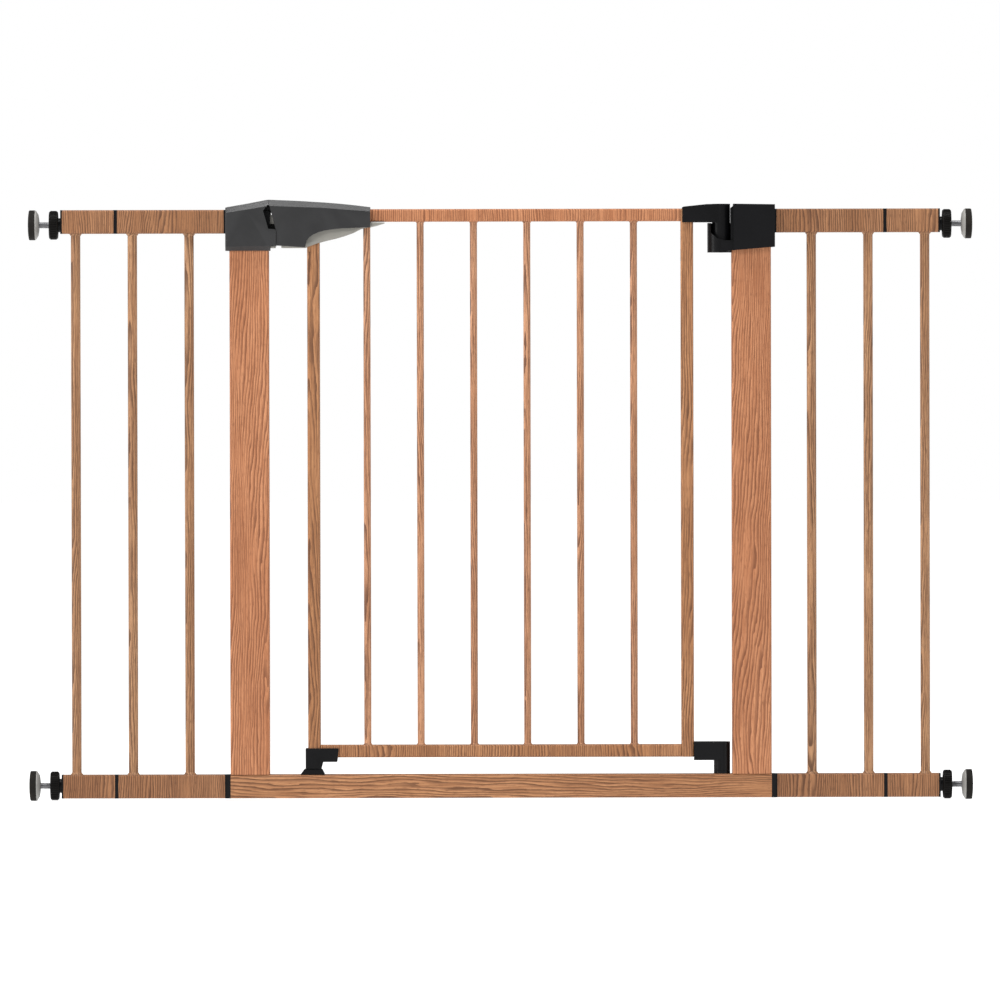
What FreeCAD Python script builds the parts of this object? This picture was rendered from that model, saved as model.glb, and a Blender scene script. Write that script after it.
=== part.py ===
import FreeCAD, Part
import math
import os
import re
import Sketcher

# Pressure-fitted safety gate, millimetres, Z up, front face towards -Y.
# The origin is on the floor under the middle of the doorway.

doc = FreeCAD.newDocument("safety_gate")
sheet = doc.addObject("Spreadsheet::Sheet", "dims")

DIMENSIONS = [
    # steel frame
    ("post_inner", 293.5), ("post_width", 50), ("frame_depth", 25), ("post_top", 748),
    ("sill_low", 3), ("sill_high", 33), ("steel_wall", 1.2), ("tube_corner", 2.5),
    ("sill_plug", 5), ("fit_gap", 0.05), ("through_cut", 30), ("pin_clearance", 0.4),
    # extension frames at each side
    ("rail_depth", 20), ("rail_height", 30), ("top_rail_low", 720), ("flange", 2.2),
    ("wide_start", 348.5), ("wide_end", 488.2), ("narrow_end", 558.05), ("spigot", 15),
    ("bar_radius", 6), ("bar_one", 395), ("bar_two", 467), ("bar_three", 539), ("weld", 3),
    ("link_pin_radius", 4), ("link_hole_radius", 4.3), ("link_pin_length", 34),
    # wall spindles
    ("spindle_low", 19), ("spindle_high", 731), ("rod_radius", 4), ("rod_inner", 521),
    ("neck_radius", 9), ("neck_length", 2.95), ("wheel_inner", 561.2), ("wheel_outer", 572.5),
    ("wheel_radius", 18.4), ("pad_inner", 585), ("pad_outer", 599.5), ("pad_radius", 19),
    ("pad_bore_depth", 8),
    # door
    ("stile_outer", 245), ("stile_width", 16), ("door_depth", 16), ("door_low", 54.5),
    ("door_high", 750.5), ("door_rail", 16), ("door_bar_radius", 4.5), ("door_bar_pitch", 67.7),
    ("door_weld", 2), ("door_wall", 1),
    # hinges on the right post
    ("hinge_line", 280.5), ("barrel_radius", 11.5), ("barrel_low", 710), ("barrel_high", 756.4),
    ("collar_radius", 17.4), ("cup_floor", 709.5), ("cup_bore", 12.6), ("leg_radius", 10.4),
    ("leg_low", 36.8), ("leg_high", 73.7), ("pin_radius", 4), ("pin_bore", 4.05),
    ("upper_pin_low", 695.5), ("upper_pin_high", 740), ("lower_pin_low", 22), ("lower_pin_high", 66),
    ("seat_high", 36.5), ("spring_room", 8), ("spring_room_low", 42), ("spring_room_high", 60),
    ("closer_low", 44), ("closer_length", 14), ("closer_turns", 6), ("closer_radius", 6.2),
    ("closer_wire", 0.7), ("collar_low", 694.7), ("collar_high", 732), ("neck_high", 719),
    ("box_low", 697.4), ("box_low_outer", 701.8), ("arm_left", 231), ("arm_low", 733),
    ("arm_half_depth", 11), ("leg_arm_low", 50.3), ("post_skin_left", 292.5),
    ("post_skin_half", 14.5), ("post_skin_high", 751.5),
    # latch and hinge housings on the posts
    ("housing_depth", 19.5), ("housing_low", 698), ("hinge_box_left", 295.9), ("hinge_box_high", 756.3),
    ("notch_left", 304.5), ("notch_low", 722), ("strike_wall", 1.5), ("strike_mouth", 7),
    ("strike_right", 292), ("strike_low", 726.5), ("bolt_way_left", 302), ("bolt_way_right", 290),
    ("bolt_way_low", 740), ("bolt_way_high", 756), ("trim_left", 291.4), ("trim_right", 285),
    ("trim_low", 701.4), ("trim_high", 704), ("trim_half_depth", 14),
    ("housing_screw_in", 28), ("housing_screw_high", 715), ("mouth_skin", 2),
    # handle, lever and bolt
    ("handle_depth", 18), ("handle_wall", 2), ("handle_right", 164.7), ("bolt_low", 732),
    ("bolt_high", 743.5), ("bolt_half", 6), ("bolt_tip", 299.6), ("bolt_back", 256),
    ("pivot_left", 178), ("pivot_height", 731), ("pivot_radius", 2), ("lever_inner", 9.2),
    ("lever_outer", 12), ("follower_left", 263), ("follower_height", 722), ("follower_radius", 2),
    ("pivot_half_length", 14), ("spring_hub", 3.8), ("lever_spring_length", 8),
    ("lever_spring_turns", 5), ("lever_spring_radius", 2.75), ("lever_spring_wire", 0.5),
    ("slot_run", 9.46), ("slot_rise", 7.44), ("slot_side_run", 1.48), ("slot_side_rise", 1.89),
    ("slot_end_run", 2.04), ("slot_end_rise", 1.61), ("fin_left", 278), ("fin_right", 257),
    ("fin_low", 716.5), ("fin_half", 3), ("tip_half", 2), ("tip_length", 5),
    ("slide_gap", 0.4), ("stile_screw_left", 237), ("stile_screw_high", 739),
    ("rail_screw_left", 200), ("rail_screw_high", 742.5), ("screw_radius", 2),
    ("screw_head", 3.8), ("screw_head_length", 2.5), ("screw_tip", 15.5),
    ("screw_clearance", 0.3), ("head_clearance", 0.1), ("boss_wall", 1.5),
    # door foot and floor catch
    ("foot_depth", 10), ("foot_low", 40.4), ("foot_right", 200), ("foot_slot_left", 243.5),
    ("foot_slot_right", 232.5), ("foot_slot_half", 5), ("foot_slot_high", 48.5),
    ("catch_high", 40), ("catch_tab_high", 47), ("catch_base_left", 254.9),
    ("catch_base_right", 223.8), ("catch_top_left", 249.7), ("catch_top_right", 227.3),
    ("catch_base_half", 12.5), ("catch_top_half", 9.5), ("catch_tab_left", 242.5),
    ("catch_tab_length", 9), ("catch_tab_width", 8),
]

for row, (alias, size) in enumerate(DIMENSIONS, start=1):
    sheet.set(f"A{row}", alias)
    sheet.set(f"B{row}", str(size))
    sheet.setAlias(f"B{row}", alias)
doc.recompute()

PLANES = {"XY": "XY_Plane", "XZ": "XZ_Plane", "YZ": "YZ_Plane"}
parts = []


def bound(expression):
    """Turn words into references to the sheet: '-post_inner + 2' gives '-dims.post_inner + 2'."""
    return re.sub(r"[a-z_]{3,}", lambda word: "dims." + word.group(0), str(expression))


def size_of(alias):
    return float(getattr(sheet, alias))


def keep(shape_object, label):
    """Name an object as a sub-part that gets its own file."""
    shape_object.Label = label
    parts.append(shape_object)
    return shape_object


def body(name):
    return doc.addObject("PartDesign::Body", name)


def sketch_on(owner, plane, offset):
    """A sketch on one of the body's own origin planes, moved along the plane's normal."""
    sketch = owner.newObject("Sketcher::SketchObject", owner.Name + "_sketch")
    role = PLANES[plane]
    support = [feature for feature in owner.Origin.OriginFeatures if feature.Role == role][0]
    sketch.AttachmentSupport = (support, [""])
    sketch.MapMode = "FlatFace"
    sketch.setExpression("AttachmentOffset.Base.z", bound(offset))
    return sketch


def fix(sketch, element, point, x_place, y_place):
    """Hold one sketch point at a place that the sheet gives."""
    for kind, place in (("DistanceX", x_place), ("DistanceY", y_place)):
        index = sketch.addConstraint(Sketcher.Constraint(kind, -1, 1, element, point, 1.0))
        sketch.setExpression(f"Constraints[{index}]", bound(place))


def polygon(sketch, points):
    count = len(points)
    first = sketch.GeometryCount
    for corner in range(count):
        turns = [2 * math.pi * step / count for step in (corner, corner + 1)]
        ends = [FreeCAD.Vector(math.cos(turn), math.sin(turn), 0) for turn in turns]
        sketch.addGeometry(Part.LineSegment(*ends), False)
    for corner in range(count):
        following = first + (corner + 1) % count
        sketch.addConstraint(Sketcher.Constraint("Coincident", first + corner, 2, following, 1))
        fix(sketch, first + corner, 1, *points[corner])


def circle(sketch, x_place, y_place, radius):
    centre = FreeCAD.Vector(1, 1, 0)
    element = sketch.addGeometry(Part.Circle(centre, FreeCAD.Vector(0, 0, 1), 1), False)
    index = sketch.addConstraint(Sketcher.Constraint("Radius", element, 1.0))
    sketch.setExpression(f"Constraints[{index}]", bound(radius))
    fix(sketch, element, 3, x_place, y_place)


def draw(sketch, outline):
    if outline[0] == "circle":
        circle(sketch, *outline[1:])
    else:
        polygon(sketch, outline)


def add(owner, plane, outline, low, high):
    """Add material over an outline, from low to high along the axis across the plane."""
    start = f"-({high})" if plane == "XZ" else low
    sketch = sketch_on(owner, plane, start)
    draw(sketch, outline)
    pad = owner.newObject("PartDesign::Pad", owner.Name + "_pad")
    pad.Profile = sketch
    pad.setExpression("Length", bound(f"({high}) - ({low})"))
    owner.Tip = pad
    doc.recompute()
    return pad


def cut(owner, plane, outline, low, high):
    """Take material away over an outline, and make sure that some went."""
    before = owner.Shape.Volume
    start = f"-({low})" if plane == "XZ" else high
    sketch = sketch_on(owner, plane, start)
    draw(sketch, outline)
    pocket = owner.newObject("PartDesign::Pocket", owner.Name + "_pocket")
    pocket.Profile = sketch
    pocket.setExpression("Length", bound(f"({high}) - ({low})"))
    owner.Tip = pocket
    doc.recompute()
    if owner.Shape.Volume > before - 0.01:
        raise RuntimeError(f"{pocket.Name} removed nothing from {owner.Name}")
    return pocket


def edges_along(feature, direction):
    """Names of the straight edges that run along a direction."""
    names = []
    for number, edge in enumerate(feature.Shape.Edges, start=1):
        run = edge.lastVertex().Point - edge.firstVertex().Point
        if edge.Curve.TypeId == "Part::GeomLine" and abs(run.normalize() * direction) > 0.999:
            names.append(f"Edge{number}")
    return names


def round_edges(owner, feature, direction, radius):
    fillet = owner.newObject("PartDesign::Fillet", owner.Name + "_fillet")
    fillet.Base = (feature, edges_along(feature, direction))
    fillet.setExpression("Radius", bound(radius))
    owner.Tip = fillet
    doc.recompute()
    return fillet


def rectangle(left, right, bottom, top):
    return [(left, bottom), (right, bottom), (right, top), (left, top)]


NORMALS = {"XY": FreeCAD.Vector(0, 0, 1), "XZ": FreeCAD.Vector(0, 1, 0), "YZ": FreeCAD.Vector(1, 0, 0)}


def tube(name, plane, outline, low, high, wall="steel_wall"):
    """A rounded rectangular steel tube, open at both ends."""
    owner = body(name)
    pad = add(owner, plane, outline, low, high)
    rounded = round_edges(owner, pad, NORMALS[plane], "tube_corner")
    ends = []
    for number, face in enumerate(rounded.Shape.Faces, start=1):
        if abs(face.normalAt(0, 0) * NORMALS[plane]) > 0.999:
            ends.append(f"Face{number}")
    hollow = owner.newObject("PartDesign::Thickness", name + "_hollow")
    hollow.Base = (rounded, ends)
    hollow.Reversed = True
    hollow.setExpression("Value", bound(wall))
    owner.Tip = hollow
    doc.recompute()
    return owner


def span(side, inner, outer):
    """An X range from inner to outer, counted outwards on the given side."""
    return (inner, outer) if side > 0 else (f"-({outer})", f"-({inner})")


def sign(side, place):
    return place if side > 0 else f"-({place})"


def group(label, members):
    compound = doc.addObject("Part::Compound", label)
    compound.Links = members
    return keep(compound, label)


# ---------------------------------------------------------------- main steel frame

DEPTH = ("-frame_depth / 2", "frame_depth / 2")
POST_OUTER = "post_inner + post_width"
LINK_TOP = "top_rail_low + rail_height / 2"
LINK_BOTTOM = "sill_low + rail_height / 2"

sill = tube("threshold_rail", "YZ", rectangle(*DEPTH, "sill_low", "sill_high"),
            f"-({POST_OUTER})", POST_OUTER)
cut(sill, "XY", ("circle", "hinge_line", "0", "pin_radius + pin_clearance"),
    "sill_high - 4", "sill_high + 1")
keep(sill, "threshold_rail")

for side, word in ((-1, "left"), (1, "right")):
    post = tube(f"post_{word}", "XY", rectangle(*span(side, "post_inner", POST_OUTER), *DEPTH),
                "sill_high", "post_top")
    cut(post, "YZ", ("circle", "0", LINK_TOP, "link_hole_radius"),
        *span(side, f"{POST_OUTER} - 5", f"{POST_OUTER} + 1"))
    screw_line = sign(side, "post_inner + housing_screw_in")
    cut(post, "XZ", ("circle", screw_line, "housing_screw_high", "screw_radius + screw_clearance"),
        "-through_cut", "through_cut")
    if side < 0:
        corner = rectangle("-notch_left", "-post_inner + 1", "notch_low", "post_top + 1")
        cut(post, "XZ", corner, "-through_cut", "through_cut")
    keep(post, f"post_{word}")


def end_plug(name, side, face, inward, rail_low, hole_height, deep, thick="flange"):
    """A plug for a tube end: a flange on the outside and a hollowed spigot inside the tube.

    face is the flange's outer face, counted outwards from the middle of the gate; inward is -1
    where the tube lies nearer the middle than the flange, and 1 where it lies further out.
    """
    owner = body(name)
    half = f"({deep}) / 2"
    inner_face = f"{face} + {thick}" if inward > 0 else f"{face} - {thick}"
    tip = f"{inner_face} + spigot" if inward > 0 else f"{inner_face} - spigot"
    flange_span = (face, inner_face) if inward > 0 else (inner_face, face)
    spigot_span = (inner_face, tip) if inward > 0 else (tip, inner_face)
    add(owner, "YZ", rectangle(f"-{half}", half, rail_low, f"{rail_low} + rail_height"),
        *span(side, *flange_span))
    skin = "steel_wall + fit_gap + 0.8"
    add(owner, "YZ", rectangle(f"-{half} + {skin}", f"{half} - ({skin})", f"{rail_low} + {skin}",
                               f"{rail_low} + rail_height - ({skin})"), *span(side, *spigot_span))
    whole = (face, tip) if inward > 0 else (tip, face)
    cut(owner, "YZ", ("circle", "0", hole_height, "link_hole_radius"), *span(side, *whole))
    return owner


group("threshold_end_plugs", [
    end_plug(f"threshold_plug_{word}", side, f"{POST_OUTER} + sill_plug", -1, "sill_low",
             LINK_BOTTOM, "frame_depth", "sill_plug")
    for side, word in ((-1, "left"), (1, "right"))])


# ---------------------------------------------------------------- extension frames

def bar(name, side, place, low, high, radius, weld):
    """A round bar with a small weld bead at each end."""
    members = []
    for kind, suffix, base, tall, low_radius, high_radius in (
            ("Part::Cylinder", "shaft", low, f"{high} - ({low})", radius, radius),
            ("Part::Cone", "low_bead", low, weld, f"{radius} + {weld} * 0.7", radius),
            ("Part::Cone", "high_bead", f"{high} - {weld}", weld, radius, f"{radius} + {weld} * 0.7")):
        piece = doc.addObject(kind, f"{name}_{suffix}")
        piece.setExpression("Placement.Base.x", bound(sign(side, place)))
        piece.setExpression("Placement.Base.z", bound(base))
        piece.setExpression("Height", bound(tall))
        if kind == "Part::Cone":
            piece.setExpression("Radius1", bound(low_radius))
            piece.setExpression("Radius2", bound(high_radius))
        else:
            piece.setExpression("Radius", bound(low_radius))
        members.append(piece)
    joined = doc.addObject("Part::MultiFuse", name)
    joined.Shapes = members
    return joined


def extension(word, side, start, end, bars):
    """One extension frame: two rails, round bars between them, and a plug in each rail end."""
    rail_sides = ("-rail_depth / 2", "rail_depth / 2")
    reach = span(side, f"{start} + flange", f"{end} - flange")
    plugs = []
    for level, low, link, spindle in (("top", "top_rail_low", LINK_TOP, "spindle_high"),
                                      ("bottom", "sill_low", LINK_BOTTOM, "spindle_low")):
        outline = rectangle(*rail_sides, low, f"{low} + rail_height")
        keep(tube(f"{word}_{level}_rail", "YZ", outline, *reach), f"{word}_{level}_rail")
        outer_hole = spindle if end == "narrow_end" else link
        inner = end_plug(f"{word}_{level}_inner_plug", side, start, 1, low, link, "rail_depth")
        outer = end_plug(f"{word}_{level}_outer_plug", side, end, -1, low, outer_hole, "rail_depth")
        if end == "narrow_end":
            add(outer, "YZ", ("circle", "0", spindle, "neck_radius"),
                *span(side, end, f"{end} + neck_length"))
            cut(outer, "YZ", ("circle", "0", spindle, "link_hole_radius"),
                *span(side, f"{end} - 1", f"{end} + neck_length + 1"))
        plugs.extend((inner, outer))
    group(f"{word}_end_plugs", plugs)
    group(f"{word}_bars", [bar(f"{word}_bar_{number}", side, place, "sill_high", "top_rail_low",
                               "bar_radius", "weld") for number, place in enumerate(bars, start=1)])


def rod_along(name, side, inner, outer, height, radius):
    owner = body(name)
    add(owner, "YZ", ("circle", "0", height, radius), *span(side, inner, outer))
    return owner


link_pins = []
for side, word in ((-1, "left"), (1, "right")):
    extension(f"{word}_wide", side, "wide_start", "wide_end", ("bar_one", "bar_two"))
    extension(f"{word}_narrow", side, "wide_end", "narrow_end", ("bar_three",))
    for number, joint in enumerate(("wide_start", "wide_end"), start=1):
        for level, height in (("top", LINK_TOP), ("bottom", LINK_BOTTOM)):
            link_pins.append(rod_along(f"link_pin_{word}_{level}_{number}", side,
                                       f"{joint} - link_pin_length / 2",
                                       f"{joint} + link_pin_length / 2", height, "link_pin_radius"))
group("extension_link_pins", link_pins)

# ---------------------------------------------------------------- wall spindles

for side, side_word in ((-1, "left"), (1, "right")):
    for level, height in (("top", "spindle_high"), ("bottom", "spindle_low")):
        word = f"{side_word}_{level}"
        rod = rod_along(f"{word}_spindle_rod", side, "rod_inner", "pad_inner + pad_bore_depth",
                        height, "rod_radius")
        keep(rod, f"{word}_spindle_rod")
        wheel = rod_along(f"{word}_adjuster_wheel", side, "wheel_inner", "wheel_outer", height,
                          "wheel_radius")
        cut(wheel, "YZ", ("circle", "0", height, "rod_radius + fit_gap"),
            *span(side, "wheel_inner", "wheel_outer"))
        keep(wheel, f"{word}_adjuster_wheel")
        pad = rod_along(f"{word}_wall_pad", side, "pad_inner", "pad_outer", height, "pad_radius")
        cut(pad, "YZ", ("circle", "0", height, "rod_radius + fit_gap"),
            *span(side, "pad_inner", "pad_inner + pad_bore_depth"))
        keep(pad, f"{word}_wall_pad")

# ---------------------------------------------------------------- door frame

DOOR_SIDES = ("-door_depth / 2", "door_depth / 2")
STILE_INNER = "stile_outer - stile_width"
HANDLE_SCREWS = (("-stile_screw_left", "stile_screw_high"), ("-rail_screw_left", "rail_screw_high"))
SCREW_HOLE = "screw_radius + screw_clearance"

for side, word in ((-1, "left"), (1, "right")):
    stile = tube(f"door_stile_{word}", "XY", rectangle(*span(side, STILE_INNER, "stile_outer"),
                                                     *DOOR_SIDES), "door_low", "door_high", "door_wall")
    if side < 0:
        cut(stile, "XZ", ("circle", *HANDLE_SCREWS[0], SCREW_HOLE), "-through_cut", "through_cut")
    keep(stile, f"door_stile_{word}")

for word, low in (("bottom", "door_low"), ("top", "door_high - door_rail")):
    rail = tube(f"door_{word}_rail", "YZ", rectangle(*DOOR_SIDES, low, f"{low} + door_rail"),
                f"-({STILE_INNER})", STILE_INNER, "door_wall")
    if word == "top":
        cut(rail, "XZ", ("circle", *HANDLE_SCREWS[1], SCREW_HOLE), "-through_cut", "through_cut")
    keep(rail, f"door_{word}_rail")

group("door_bars", [bar(f"door_bar_{number}", 1, f"door_bar_pitch * ({number} - 3.5)",
                        "door_low + door_rail", "door_high - door_rail", "door_bar_radius", "door_weld")
                    for number in range(1, 7)])

# ---------------------------------------------------------------- hinges

housing = body("hinge_housing")
HINGE_BOX = [("hinge_box_left", "box_low"), ("wide_start", "box_low_outer"),
             ("wide_start", "hinge_box_high - 0.8"), ("hinge_box_left", "hinge_box_high")]
# a thin skin over the side of the post that faces the barrel
POST_SKIN = [("post_skin_left", "box_low"), ("hinge_box_left + 1", "box_low"),
             ("hinge_box_left + 1", "post_skin_high + 3"), ("post_skin_left", "post_skin_high")]
# the front half of the collar is open above this line and shows the barrel
COLLAR_OPENING = [("267", "719.8"), ("275.2", "712.7"), ("285", "barrel_low"),
                  ("hinge_box_left", "barrel_low"), ("hinge_box_left", "collar_high + 8"),
                  ("267", "collar_high + 8")]
HINGE_SCREW = ("post_inner + housing_screw_in", "housing_screw_high")
SCREW_FIT = "screw_radius + fit_gap"
HEAD_FIT = "screw_head + head_clearance"

add(housing, "XZ", HINGE_BOX, "-housing_depth", "housing_depth")
add(housing, "XY", rectangle("hinge_line", "hinge_box_left + 1", "-collar_radius", "collar_radius"),
    "box_low", "neck_high")
add(housing, "XY", ("circle", "hinge_line", "0", "collar_radius"), "collar_low", "collar_high")
cut(housing, "XZ", COLLAR_OPENING, "-through_cut", "0")
cut(housing, "XY", ("circle", "hinge_line", "0", "cup_bore"), "cup_floor", "collar_high + 8")
add(housing, "XZ", POST_SKIN, "-post_skin_half", "post_skin_half")
cut(housing, "XY", rectangle("post_inner", POST_OUTER, *DEPTH), "collar_low - 4", "post_top")
cut(housing, "XY", ("circle", "hinge_line", "0", "pin_bore"), "collar_low - 4", "cup_floor + 1")
cut(housing, "YZ", ("circle", "0", LINK_TOP, "link_hole_radius"), POST_OUTER, "wide_start")
cut(housing, "XZ", ("circle", *HINGE_SCREW, SCREW_FIT), "-screw_tip - 0.5", "housing_depth")
cut(housing, "XZ", ("circle", *HINGE_SCREW, HEAD_FIT), "housing_depth - screw_head_length",
    "housing_depth")
keep(housing, "hinge_housing")

upper = body("upper_hinge_arm")
UPPER_ARM = [("arm_left", "arm_low"), ("hinge_line", "arm_low"), ("hinge_line", "barrel_high"),
             ("262", "756"), ("233", "753"), ("arm_left", "752")]
add(upper, "XZ", UPPER_ARM, "-arm_half_depth", "arm_half_depth")
add(upper, "XY", ("circle", "hinge_line", "0", "barrel_radius"), "barrel_low", "barrel_high")
cut(upper, "XZ", rectangle("arm_left - 1", "stile_outer", "arm_low - 1", "door_high"), *DOOR_SIDES)
cut(upper, "XY", ("circle", "hinge_line", "0", "pin_bore"), "barrel_low", "upper_pin_high + 1")
keep(upper, "upper_hinge_arm")

lower = body("lower_hinge_arm")
add(lower, "XZ", rectangle("stile_outer", "hinge_line", "leg_arm_low", "leg_high"), "-leg_radius",
    "leg_radius")
add(lower, "XY", ("circle", "hinge_line", "0", "leg_radius"), "leg_low", "leg_high")
cut(lower, "XY", ("circle", "hinge_line", "0", "pin_bore"), "leg_low", "lower_pin_high + 1")
cut(lower, "XY", ("circle", "hinge_line", "0", "spring_room"), "spring_room_low", "spring_room_high")
keep(lower, "lower_hinge_arm")

seat = body("lower_hinge_seat")
add(seat, "XY", ("circle", "hinge_line", "0", "leg_radius"), "sill_high", "seat_high")
cut(seat, "XY", ("circle", "hinge_line", "0", "pin_bore"), "sill_high", "seat_high")
keep(seat, "lower_hinge_seat")

for word, low, high in (("upper", "upper_pin_low", "upper_pin_high"),
                        ("lower", "lower_pin_low", "lower_pin_high")):
    pin = body(f"hinge_pin_{word}")
    add(pin, "XY", ("circle", "hinge_line", "0", "pin_radius"), low, high)
    keep(pin, f"hinge_pin_{word}")


def coil_spring(label, centre, direction, coil_radius, wire_radius, length, turns):
    """A helical spring whose axis starts at centre and runs along direction."""
    spine = Part.makeHelix(length / turns, length, coil_radius)
    start = FreeCAD.Vector(coil_radius, 0, 0)
    section = Part.Wire([Part.makeCircle(wire_radius, start, FreeCAD.Vector(0, 1, 0))])
    coil = Part.Wire(spine.Edges).makePipeShell([section], True, True)
    spring = doc.addObject("Part::Feature", label)
    spring.Shape = coil
    turn = FreeCAD.Rotation(FreeCAD.Vector(0, 0, 1), direction)
    spring.Placement = FreeCAD.Placement(centre, turn)
    return keep(spring, label)


coil_spring("closer_spring", FreeCAD.Vector(size_of("hinge_line"), 0, size_of("closer_low")),
            FreeCAD.Vector(0, 0, 1), size_of("closer_radius"), size_of("closer_wire"),
            size_of("closer_length"), size_of("closer_turns"))

# ---------------------------------------------------------------- latch housing on the left post

HOUSING_OUTLINE = [("-wide_start", "housing_low"), ("-292.5", "housing_low"), ("-291.6", "trim_high"),
                   ("-284.2", "trim_high"), ("-284.2", "720"), ("-284.9", "724.8"),
                   ("-294.8", "762.5"), ("-wide_start", "752.7")]
# the mouth that the bolt passes through, a sloping pocket in the edge towards the handle
MOUTH = [("-294", "725.8"), ("-284", "724.8"), ("-292", "755.8"), ("-295.4", "755.8"),
         ("-300.5", "748.4")]
# where the raised bolt swings past the rear shell's skin
BOLT_PASS = rectangle("-291.3", "-280", "bolt_way_low - 1.5", "bolt_way_low + 6.5")
HOUSING_SCREW = ("-(post_inner + housing_screw_in)", "housing_screw_high")

for word, low, high in (("front", "-housing_depth", "0"), ("rear", "0", "housing_depth")):
    shell = body(f"latch_housing_{word}")
    add(shell, "XZ", HOUSING_OUTLINE, low, high)
    inner = ("-frame_depth / 2", "0") if word == "front" else ("0", "frame_depth / 2")
    cut(shell, "XZ", rectangle(f"-({POST_OUTER})", "-post_inner", "housing_low - 1", "post_top"), *inner)
    if word == "front":
        cut(shell, "XZ", MOUTH, low, high)
    else:
        cut(shell, "XZ", MOUTH, low, "housing_depth - mouth_skin")
        cut(shell, "XZ", BOLT_PASS, "housing_depth - mouth_skin", high)
    bolt_way = ("-strike_mouth", "0") if word == "front" else ("0", "strike_mouth")
    cut(shell, "XZ", rectangle("-bolt_way_left", "-bolt_way_right", "bolt_way_low", "bolt_way_high"),
        *bolt_way)
    cut(shell, "YZ", ("circle", "0", LINK_TOP, "link_hole_radius"), "-wide_start", f"-({POST_OUTER})")
    if word == "front":
        cut(shell, "XZ", ("circle", *HOUSING_SCREW, SCREW_FIT), "-screw_tip - 0.5", "-frame_depth / 2")
    else:
        cut(shell, "XZ", ("circle", *HOUSING_SCREW, SCREW_FIT), "frame_depth / 2", "housing_depth")
        cut(shell, "XZ", ("circle", *HOUSING_SCREW, HEAD_FIT), "housing_depth - screw_head_length",
            "housing_depth")
    keep(shell, f"latch_housing_{word}")

strike = body("strike_plate")
add(strike, "XY", rectangle("-notch_left", "-strike_right", "-(strike_mouth + strike_wall)",
                            "strike_mouth + strike_wall"), "strike_low", "post_top")
cut(strike, "XY", rectangle("-notch_left + strike_wall", "-strike_right + 1", "-strike_mouth",
                            "strike_mouth"), "strike_low - 1", "post_top + 1")
keep(strike, "strike_plate")

trim = body("latch_trim")
add(trim, "XZ", rectangle("-trim_left", "-trim_right", "trim_low", "trim_high"), "-trim_half_depth",
    "trim_half_depth")
keep(trim, "latch_trim")

# ---------------------------------------------------------------- handle, lever and bolt on the door

# the handle's lower edge, from its right end round to the bottom of its front leg
LOWER_CURVE = [("-handle_right", "727.2"), ("-200.7", "726.1"), ("-222.5", "723.4"), ("-237.1", "718.4"),
               ("-245.1", "711.1"), ("-247.3", "702.1")]
HANDLE_OUTLINE = [("-293.6", "762.8"), ("-283.5", "721.5"), ("-282.4", "704.4")] + LOWER_CURVE[::-1] + [
    ("-handle_right", "753.4"), ("-207.9", "758"), ("-244.3", "760.5")]
HANDLE_HOLLOW = [("-291", "760.6"), ("-281.5", "721.5"), ("-280.4", "695"), ("-150", "695"),
                 ("-150", "726"), ("-166.7", "726"), ("-166.7", "751.6"), ("-207.9", "756"),
                 ("-244.3", "758.5")]
END_WALL = ("-168", "-160")
BOLT_WINDOW = rectangle("-295", "-275", "bolt_low - slide_gap", "bolt_high + slide_gap")

for word, low, high in (("front", "-handle_depth", "0"), ("rear", "0", "handle_depth")):
    shell = body(f"handle_{word}")
    add(shell, "XZ", HANDLE_OUTLINE, low, high)
    inner_face = "handle_depth - handle_wall"
    hollow = (f"-({inner_face})", "0") if word == "front" else ("0", inner_face)
    cut(shell, "XZ", HANDLE_HOLLOW, *hollow)
    half = ("-door_depth / 2", "0") if word == "front" else ("0", "door_depth / 2")
    cut(shell, "XZ", rectangle(*END_WALL, "door_high - door_rail", "door_high"), *half)
    tail_half = ("-lever_outer - 0.5", "0") if word == "front" else ("0", "lever_outer + 0.5")
    cut(shell, "XZ", rectangle(*END_WALL, "720", "door_high - door_rail"), *tail_half)
    window_half = ("-bolt_half - slide_gap", "0") if word == "front" else ("0", "bolt_half + slide_gap")
    cut(shell, "XZ", BOLT_WINDOW, *window_half)
    boss = (f"-({inner_face})", "-door_depth / 2") if word == "front" else ("door_depth / 2", inner_face)
    for spot in HANDLE_SCREWS:
        add(shell, "XZ", ("circle", *spot, "screw_head + boss_wall"), *boss)
    for spot in HANDLE_SCREWS:
        hole = ("-screw_tip", half[0]) if word == "front" else (half[1], "handle_depth")
        cut(shell, "XZ", ("circle", *spot, SCREW_FIT), *hole)
        if word == "rear":
            cut(shell, "XZ", ("circle", *spot, HEAD_FIT), "handle_depth - screw_head_length",
                "handle_depth")
    keep(shell, f"handle_{word}")


def screw(name, spot, tip, seat_face):
    """A countersunk-flush screw along Y, its head at the rear."""
    owner = body(name)
    add(owner, "XZ", ("circle", *spot, "screw_radius"), tip, seat_face)
    add(owner, "XZ", ("circle", *spot, "screw_head"), f"{seat_face} - screw_head_length", seat_face)
    return owner


group("handle_screws", [screw(f"handle_screw_{number}", spot, "-screw_tip", "handle_depth")
                        for number, spot in enumerate(HANDLE_SCREWS, start=1)])
group("housing_screws", [screw(f"housing_screw_{word}", spot, "-screw_tip", "housing_depth")
                         for word, spot in (("left", HOUSING_SCREW), ("right", HINGE_SCREW))])

pivot = body("lever_pivot_pin")
add(pivot, "XZ", ("circle", "-pivot_left", "pivot_height", "pivot_radius"), "-pivot_half_length",
    "pivot_half_length")
keep(pivot, "lever_pivot_pin")

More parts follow.
